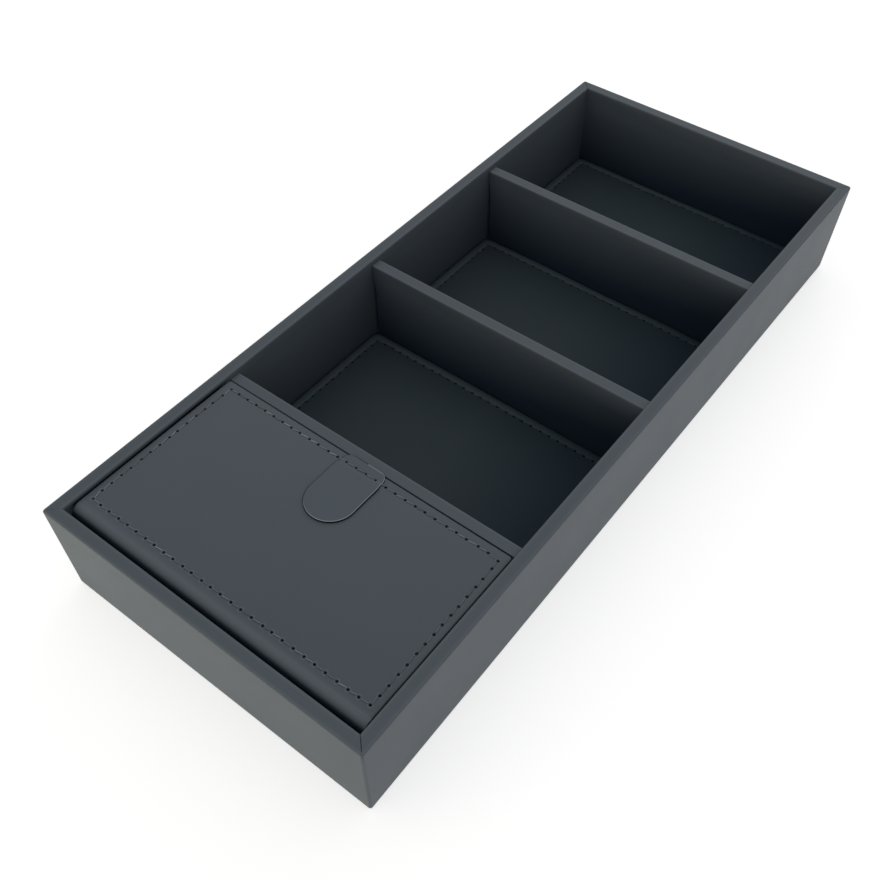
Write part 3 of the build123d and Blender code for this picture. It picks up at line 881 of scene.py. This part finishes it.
class TRAY_OT_divider_covers(bpy.types.Operator):
    """Makes the three divider covers, folded round their boards' tops and ends. The columns
    climb the front, cross the top and go down the back, and the rows run from end to end. The
    edges are quarter circles, and a sum of slow sine waves bows the faces inwards."""

    bl_idname = "tray.divider_covers"
    bl_label = "Divider Covers"

    def execute(self, context):
        rim, end, relief = 0.65, 0.55, 1.4
        for number in DIVIDERS:
            low, high = box_mm(f"divider_{number}_cover")
            half, middle = (high[1] - low[1]) / 2, (high[1] + low[1]) / 2
            close = high[2] - 18.0
            climb = np.concatenate([np.linspace(low[2], close, 6)[:-1],
                                    np.linspace(close, high[2] - rim, 12)[:-1]])
            flat = np.array([0.85, 1.1, 1.5, 2.0])
            across = np.concatenate([0 * climb, rim * ROUND_ACROSS, flat]) - half
            level = np.concatenate([climb, high[2] - rim * ROUND_DOWN, high[2] + 0 * flat])
            across = np.concatenate([across, -across[::-1]])
            level = np.concatenate([level, level[::-1]])
            on_rim = level > high[2] - rim

            # The ends are rounded, and cut short below
            fold = np.linspace(math.pi / 2, 0, 5)
            span = np.linspace(-1, 1, 25)[1:-1]
            place = np.concatenate([-1 + 0 * fold, span, 1 + 0 * fold])
            back = end * np.concatenate([1 - np.sin(fold), 1 + 0 * span, 1 - np.sin(fold[::-1])])
            thin = end * np.concatenate([1 - np.cos(fold), 0 * span, 1 - np.cos(fold[::-1])])
            reach = high[0] - relief * ramp(level, high[2] - 6.0, high[2] - 16.0)
            x = place[:, None] * (reach - back[:, None])
            y = across * (1 - thin[:, None] / half)
            z = level - 0.5 * thin[:, None] * on_rim + 0 * x
            bow = 0.04 * ripple(x, 3 * z, 60 + number, 120.0, 50.0)
            y = y * (1 - np.abs(bow) / half * ramp(z, high[2] - 2, high[2] - 7)) + middle

            # Painted shade down the faces, and painted highlight and wear along the top's edges. The
            # first divider has painted shade in the lid's gap at its front edge, and no painted
            # highlight line there
            crease = wall_shade(x, z) * np.where(across < 0, 1.0, 0.5)
            edge = bell(across - half + 0.55, 0.4) * on_rim
            if number == 1:
                from_gap = np.abs(across + half - 0.32 + 0.001 * x)
                in_gap = np.clip(2.5 - 2.5 * from_gap / (0.21 + 0.0003 * x), 0, 1)
                crease = np.maximum(crease, in_gap * on_rim)
            else:
                edge = edge + bell(across + half - 0.55, 0.35) * on_rim
            piece = mesh_piece(f"divider_{number}_leather", np.stack([x, y, z], -1),
                               strip_faces(*x.shape, turned=True), material_of("tray_leather"),
                               {"crease": np.clip(crease, 0, 1), "edge": 1.2 * edge + 0 * x})
            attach(piece, "tray")
            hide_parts(f"divider_{number}_cover")
        return {"FINISHED"}


class TRAY_OT_floor_mats(bpy.types.Operator):
    """Makes the four padded and sewn floor mats."""

    bl_idname = "tray.floor_mats"
    bl_label = "Floor Mats"

    def execute(self, context):
        sewing = context.scene.tray_sewing
        for number in BAYS:
            low, high = box_mm(f"floor_mat_{number}_leather")
            thick = high[2] - low[2]
            under = [(6.0, -thick), (0.5, -thick), (0.12, 0.12 - thick), (0.0, 0.4 - thick)]
            points, faces, attributes, holes = sewn_panel(
                low, high, inset=(5.0, 4.6, 4.6), corners=(4.0, 4.0), edge=1.1, under=under,
                crown=sewing.mat_crown / MM, sewing=sewing, seed=sewing.seed + number)
            mat = mesh_piece(f"floor_mat_{number}_top", points, faces,
                             material_of("mat_leather"), attributes)
            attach(mat, "tray")
            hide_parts(f"floor_mat_{number}_leather", f"floor_mat_{number}_padding")
            seam = stitches(f"floor_mat_{number}_seam", holes, np.roll(holes, -1, axis=0), sewing,
                            material_of("mat_thread"), sewing.seed + 20 + number)
            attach(seam, "tray")
            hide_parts(f"floor_mat_{number}_stitching")
        return {"FINISHED"}


class TRAY_OT_lid_cover(bpy.types.Operator):
    """Makes the padded lid leather, its seam and the stitches that hold the pull tab."""

    bl_idname = "tray.lid_cover"
    bl_label = "Lid Cover"

    def execute(self, context):
        sewing = context.scene.tray_sewing
        low, high = box_mm("lid_leather")
        thick = high[2] - low[2]
        under = [(8.0, 0.45 - thick), (8.0, -thick), (0.7, -thick), (0.3, 0.08 - thick),
                 (0.06, 0.3 - thick), (0.0, 0.6 - thick), (0.0, -1.8)]
        points, faces, attributes, holes = sewn_panel(
            low, high, inset=(3.3, 4.5, 4.0), corners=(0.35, 1.2), edge=0.6, under=under,
            crown=sewing.lid_crown / MM, sewing=sewing, seed=sewing.seed, hinged=True)
        lid = mesh_piece("lid_cover", points, faces, material_of("lid_leather"), attributes)
        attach(lid, "lid")
        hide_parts("lid_leather", "lid_padding")

        # The back seam climbs on to the tab's tail and off it again
        tail_low, tail_high = box_mm("pull_tab_tail")
        from_tail = holes[:, 0] - TAB_SIDEWAYS
        on_tail = (from_tail > tail_low[0] + 0.4) & (from_tail < tail_high[0] - 0.4)
        on_tail &= holes[:, 1] > tail_low[1]
        holes[on_tail, 2] = tail_high[2] - 0.12
        after = np.roll(holes, -1, axis=0)
        crosses = on_tail | np.roll(on_tail, -1)
        for name, stands_for, some in (("lid_seam", "lid_stitching", ~crosses),
                                       ("tab_seam", "pull_tab_stitching", crosses)):
            seam = stitches(name, holes[some], after[some], sewing, material_of("thread"),
                            sewing.seed + 20)
            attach(seam, "lid")
            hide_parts(stands_for)
        return {"FINISHED"}


class TRAY_OT_hinge_leather(bpy.types.Operator):
    """Makes the leather hinge, glued to the front wall and rolled up into the lid. Its section
    climbs the wall, leans out on a smooth curve, rolls over on a circle and ends as a flap on
    the lid."""

    bl_idname = "tray.hinge_leather"
    bl_label = "Hinge Leather"

    def execute(self, context):
        flange_low = box_mm("lid_hinge_flange")[0]
        roll_low, roll_high = box_mm("lid_hinge_roll")
        wall_y = roll_low[1]
        slope = math.atan(2 * FRONT_ROLL / ROLL_START)
        start_y, start_z = roll_high[1], roll_high[2] - FRONT_ROLL
        front_y = wall_y + 1.8
        radius = (start_y - front_y) / (1 - math.sin(slope))
        centre_y = start_y + radius * math.sin(slope)
        centre_z = start_z - radius * math.cos(slope)
        glued_z = centre_z - 5.5
        turn = np.linspace(math.pi / 2, slope, 19)
        bend = np.linspace(0, 1, 12)[1:-1]
        flap = np.array([0.4, 0.9])
        y = np.concatenate([np.full(4, wall_y), wall_y + (front_y - wall_y) * smooth(bend),
                            centre_y - radius * np.sin(turn), start_y + flap])
        z = np.concatenate([np.linspace(flange_low[2], glued_z, 4),
                            glued_z + (centre_z - glued_z) * bend,
                            centre_z + radius * np.cos(turn),
                            start_z + FRONT_ROLL * (1 - (1 - flap / ROLL_START) ** 2)])
        # The roll and the flap lie a hair over the lid
        z[-len(turn) - len(flap):] += 0.012
        way_y, way_z = np.gradient(y), np.gradient(z)
        length = np.hypot(way_y, way_z)
        y = np.concatenate([y, (y + SKIN * way_z / length)[::-1]])
        z = np.concatenate([z, (z - SKIN * way_y / length)[::-1]])
        across = dense_ends(1.0, [0.0, 0.002, 0.006, 0.014, 0.03], 0.045)
        x = np.append(across, 1.0)[:, None] * roll_high[0] + 0 * y
        x = x + np.interp(x, (-roll_high[0], roll_high[0]), LID_EDGE_SKEW[:2, 0])

        # Painted shade low down, painted highlights where it rolls over, and a wave that sags between
        # the two
        depth = 0.8 * smooth(ramp(z, centre_z + 4.3, centre_z + 3.0))
        depth = depth + 0.15 * ramp(z, centre_z + 3.0, centre_z + 1.0) + 0 * x
        roll_highlight = 1.5 * bell(y - start_y + 0.2, 1.7) + 1.2 * bell(y - start_y + 2.1, 1.2) + 0 * x
        sag = ramp(z, centre_z, centre_z + radius) * ramp(z, roll_high[2], roll_high[2] - radius)
        wave = 0.35 * ripple(x, 0 * y, 77, 60.0, 20.0) * sag
        points = np.stack([x, y + wave, z - 0.6 * np.abs(wave)], -1)
        hinge = mesh_piece("hinge_leather", points, strip_faces(*x.shape, turned=True),
                           material_of("lid_leather"), {"crease": depth, "edge": roll_highlight})
        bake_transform(hinge)
        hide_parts("lid_hinge_flange", "lid_hinge_roll")
        return {"FINISHED"}


class TRAY_OT_pull_tab(bpy.types.Operator):
    """Makes the pull tab: a tail sewn to the lid that runs on into the free round end. Each row
    runs across its top and back below, both rounded off as a circle near the edge, and the top
    is pressed down along the seam, with a dimple at each needle hole."""

    bl_idname = "tray.pull_tab"
    bl_label = "Pull Tab"

    def execute(self, context):
        tail_low, tail_high = box_mm("pull_tab_tail")
        top_low, top_high = box_mm("pull_tab_leather")
        back_low = box_mm("pull_tab_backing")[0]
        seam_x, seam_y = box_mm("lid_stitching")[1][:2] - 0.3
        middle = (top_low[0] + top_high[0]) / 2 + TAB_SIDEWAYS
        wide, narrow = (top_high[0] - top_low[0]) / 2, (tail_high[0] - tail_low[0]) / 2
        corner, soft, holes_across = 4.5, 0.3, 28
        seam_y += skew_shift(np.array(middle), np.array(seam_y), *box_mm("lid_leather"),
                             LID_SEAM_SKEW)[1]
        fold_y = tail_low[1] - 0.75
        round_y = top_low[1] + TAB_SHORTER + wide
        at_back = tail_high[1] - corner * (1 - np.cos(np.linspace(0, math.pi / 2, 10)))
        near_seam = seam_y + np.linspace(1.1, -1.1, 17)
        at_back = at_back[at_back > near_seam[0] + 0.1]
        runs = np.linspace(fold_y - 1.4, round_y, 12)
        tip = round_y - wide * np.sin(np.linspace(0, math.pi / 2, 22))[1:]
        at_fold = fold_y + np.array([0.45, 0.15, -0.15, -0.45, -0.9])
        rows = np.concatenate([at_back, near_seam, at_fold, runs, tip])
        rows[-1] += 0.003

        # Half the width: the tail's rounded corners, a slow widening at the fold, and the circle
        # of the free end
        widening = smooth(ramp(rows, fold_y + 1.2, fold_y - 1.2))
        cut = corner * (1 - np.sqrt(1 - ramp(rows, tail_high[1] - corner, tail_high[1]) ** 2))
        circle = np.sqrt(1 - ramp(rows, round_y, round_y - wide) ** 2)
        half = ((narrow + (wide - narrow) * widening - cut) * circle)[:, None]
        even = np.linspace(-1, 1, 81)
        x = (0.6 * np.sin(even * math.pi / 2) + 0.4 * even) * half
        y = rows[:, None] + 0 * x
        to_edge = np.where(y < round_y, wide - np.hypot(x, y - round_y), half - np.abs(x))
        to_edge = np.minimum(to_edge, tail_high[1] - y)
        drop = soft * (1 - np.sqrt(1 - ramp(to_edge, soft, 0) ** 2))
        up = smooth(ramp(y, tail_low[1] + 0.35, tail_low[1] - 1.35))
        top = tail_high[2] + (top_high[2] - 0.45 - tail_high[2]) * up
        base = tail_low[2] + 0.02 + (back_low[2] - 0.1 - tail_low[2]) * up
        top = top + 0.05 * ripple(x, y, 91, 26.0, 12.0) * up
        step = 2 * seam_x / holes_across
        from_hole = x + middle - np.round((x + middle) / step) * step
        dimple = hole_shape(np.hypot(from_hole, y - seam_y), 0.6)
        top = top - 0.7 * drop - 0.12 * bell(y - seam_y, 0.8) - 0.4 * dimple
        over = np.stack([x + middle, y, top], -1)
        below = np.stack([x + middle, y, base + 0.3 * drop], -1)
        points = np.concatenate([over, below[:, ::-1]], axis=1)

        # The cut edge is dyed dark, and painted shade widens that dark band on the side away from the
        # light. A painted highlight runs inside it on the side that catches light, and painted shade
        # darkens the needle holes and the edge below
        towards_x = np.where(y < round_y, x / wide, np.sign(x))
        towards_y = np.clip((y - round_y) / wide, -1, 0)
        caught = np.clip(0.2 + 0.6 * towards_x - 0.75 * towards_y, 0, 1)
        dye_and_shade = np.clip(1.3 - 1.3 * to_edge / (0.14 + 0.36 * (1 - caught)), 0, 1)
        crease = np.concatenate([np.clip(2.2 * dimple + dye_and_shade, 0, 1),
                                 ramp(to_edge, 0.4, 0)[:, ::-1]], axis=1)
        edge = np.concatenate([2.4 * caught * bell(to_edge - 0.28, 0.12), 0 * x], axis=1)
        tab = mesh_piece("pull_tab", points, strip_faces(*crease.shape), material_of("tab_leather"),
                         {"crease": crease, "edge": edge}, sharp=50.0)
        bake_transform(tab)
        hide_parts("pull_tab_tail", "pull_tab_leather", "pull_tab_backing")
        return {"FINISHED"}


class TRAY_OT_plain_parts(bpy.types.Operator):
    """Gives the boards, linings, ledges, padding and sole their own finish."""

    bl_idname = "tray.plain_parts"
    bl_label = "Boards and Linings"

    def execute(self, context):
        for name, node in frame["nodes"].items():
            node.data.materials.clear()
            node.data.materials.append(material_of(SLOTS[name]))
        return {"FINISHED"}


class TRAY_OT_stage(bpy.types.Operator):
    """Sets the floor, the soft lamps, the sky and the camera."""

    bl_idname = "tray.stage"
    bl_label = "Stage"

    def execute(self, context):
        stage = context.scene.tray_stage
        self.make_floor(stage)
        self.make_sky(context.scene, stage)
        for name, *placing, colour in LAMPS:
            self.make_lamp(name, *placing, getattr(stage, name), colour)
        self.make_camera(context.scene)
        context.scene.view_settings.view_transform = "Standard"
        return {"FINISHED"}

    def make_floor(self, stage):
        """A wide pale floor. It is plain and matt to the light, and shows the camera and every
        reflection a white ground that keeps the object's shadow."""
        material, tree, shader = new_material("stage_floor", 0.9, 0.0)
        place = object_place(tree)
        cloud = texture(tree, "Noise", place, 3.0, Detail=2.0)
        pale = mix_node(tree, cloud.outputs["Fac"], (0.80, 0.80, 0.80, 1), (0.82, 0.82, 0.82, 1))
        path = tree.nodes.new("ShaderNodeLightPath")
        seen = math_node(tree, "MAXIMUM", path.outputs["Is Camera Ray"],
                        path.outputs["Is Glossy Ray"])
        glow = math_node(tree, "MULTIPLY", seen, stage.floor_white)
        fill(tree, shader.inputs, Base_Color=pale, Emission_Color=(1, 1, 1, 1),
             Emission_Strength=glow)
        reach, below, count = 4000.0, 0.3, 9
        line = np.linspace(-reach, reach, count)
        x, y = np.meshgrid(line, line)
        points = np.stack([x, y, 0 * x - below], axis=-1)
        row, column = (v.ravel() for v in np.meshgrid(np.arange(count - 1), np.arange(count - 1)))
        corner = row * count + column
        faces = [np.stack([corner, corner + 1, corner + count + 1, corner + count], axis=-1)]
        mesh_piece("floor", points, faces, material)

    def make_sky(self, scene, stage):
        """A soft sky, brighter overhead, that the camera sees as white."""
        world = bpy.data.worlds.new("soft_sky")
        world.use_nodes = True
        tree = world.node_tree
        shade = tree.nodes["Background"]
        place = tree.nodes.new("ShaderNodeTexCoord").outputs["Generated"]
        split = tree.nodes.new("ShaderNodeSeparateXYZ")
        tree.links.new(place, split.inputs[0])
        height = math_node(tree, "MAXIMUM", split.outputs["Z"], 0.0)
        overhead = range_node(tree, height, To_Min=stage.sky, To_Max=stage.zenith)
        path = tree.nodes.new("ShaderNodeLightPath")
        power = tree.nodes.new("ShaderNodeMix")
        tree.links.new(path.outputs["Is Camera Ray"], power.inputs[0])
        tree.links.new(overhead, power.inputs[2])
        power.inputs[3].default_value = 1.0
        tree.links.new(power.outputs[0], shade.inputs["Strength"])
        shade.inputs["Color"].default_value = (1, 1, 1, 1)
        scene.world = world

    def make_lamp(self, name, place, target, width, height, power, colour):
        """A soft rectangular lamp that faces a point and that the camera doesn't see."""
        light = bpy.data.lights.new(name, "AREA")
        light.shape, light.size, light.size_y = "RECTANGLE", width, height
        light.energy = power
        light.color = colour
        lamp = bpy.data.objects.new(name, light)
        lamp.location = place
        way = Vector(place) - Vector(target)
        lamp.rotation_mode = "QUATERNION"
        lamp.rotation_quaternion = way.to_track_quat("Z", "Y")
        lamp.visible_camera = False
        bpy.context.scene.collection.objects.link(lamp)

    def make_camera(self, scene):
        """A camera at the photograph's angle, for a frame of 880 by 880."""
        frame_px, focal_px = 880, 965.731
        middle_x, middle_y = 445.092, 512.241
        lens = bpy.data.cameras.new("camera")
        lens.sensor_width = 36.0
        lens.lens = 36.0 * focal_px / frame_px
        lens.shift_x = (frame_px / 2 - middle_x) / frame_px
        lens.shift_y = (middle_y - frame_px / 2) / frame_px
        lens.clip_start, lens.clip_end = 0.01, 50.0
        right = Vector((0.79248106, 0.60987622, 0.00497683))
        up = Vector((-0.4951325, 0.63857411, 0.58912386))
        back = Vector((0.35611455, -0.46933368, 0.80802742))
        camera = bpy.data.objects.new("camera", lens)
        turn = Matrix((right, up, back)).transposed().to_4x4()
        camera.matrix_world = Matrix.Translation((0.181168, -0.282925, 0.364617)) @ turn
        scene.collection.objects.link(camera)
        scene.camera = camera


OPERATORS = (
    TRAY_OT_plain_parts, TRAY_OT_wall_cover, TRAY_OT_divider_covers, TRAY_OT_floor_mats,
    TRAY_OT_lid_cover, TRAY_OT_hinge_leather, TRAY_OT_pull_tab, TRAY_OT_stage,
)


class TRAY_PT_panel(bpy.types.Panel):
    """Lists the settings and the steps that dress the tray."""

    bl_idname = "TRAY_PT_panel"
    bl_label = "Leather Tray"
    bl_space_type = "VIEW_3D"
    bl_region_type = "UI"
    bl_category = "Leather Tray"

    def draw(self, context):
        for name in ("tray_leather", "tray_sewing", "tray_stage"):
            settings = getattr(context.scene, name)
            box = self.layout.box()
            for label in settings.bl_rna.properties.keys():
                if label not in ("rna_type", "name"):
                    box.prop(settings, label)
        for operator in OPERATORS:
            self.layout.operator(operator.bl_idname)


CLASSES = (TrayLeatherSettings, TraySewingSettings, TrayStageSettings, *OPERATORS, TRAY_PT_panel)


def register():
    for item in CLASSES:
        bpy.utils.register_class(item)
    bpy.types.Scene.tray_leather = PointerProperty(type=TrayLeatherSettings)
    bpy.types.Scene.tray_sewing = PointerProperty(type=TraySewingSettings)
    bpy.types.Scene.tray_stage = PointerProperty(type=TrayStageSettings)


def unregister():
    for name in ("tray_leather", "tray_sewing", "tray_stage"):
        delattr(bpy.types.Scene, name)
    for item in reversed(CLASSES):
        bpy.utils.unregister_class(item)


def main():
    register()
    for operator in OPERATORS:
        group, name = operator.bl_idname.split(".")
        getattr(getattr(bpy.ops, group), name)()


if __name__ == "__main__":
    main()
